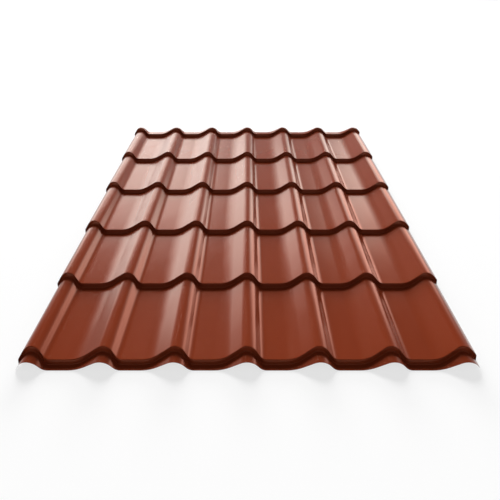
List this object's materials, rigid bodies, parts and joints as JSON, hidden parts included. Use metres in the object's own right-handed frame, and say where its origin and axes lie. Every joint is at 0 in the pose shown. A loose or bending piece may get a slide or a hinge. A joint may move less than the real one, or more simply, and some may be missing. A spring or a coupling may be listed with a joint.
{
  "type": "metal roofing sheet",
  "caption": "Tile effect metal roofing sheet: one pressed steel panel with waves along its length and tile steps across it, for covering pitched roofs.",
  "frame": {"origin": "centre of the sheet's bounding box in plan, at the level of its lowest points, which are the undersides of the step roots in the pans; the height of the floor that it lies on", "axes": "+X across the waves, towards the lip that ends part way down a steep flank; +Y up the roof, along the waves, from the eaves end to the ridge end; +Z out of the weather side, up as it lies"},
  "size_m": [1.1605, 1.808, 0.0392],
  "materials": {
    "coated_steel": "semi-gloss terracotta brown paint over zinc-coated steel"
  },
  "bodies": {
    "root": {"roofing_sheet": "coated_steel"}
  },
  "joints": []
}
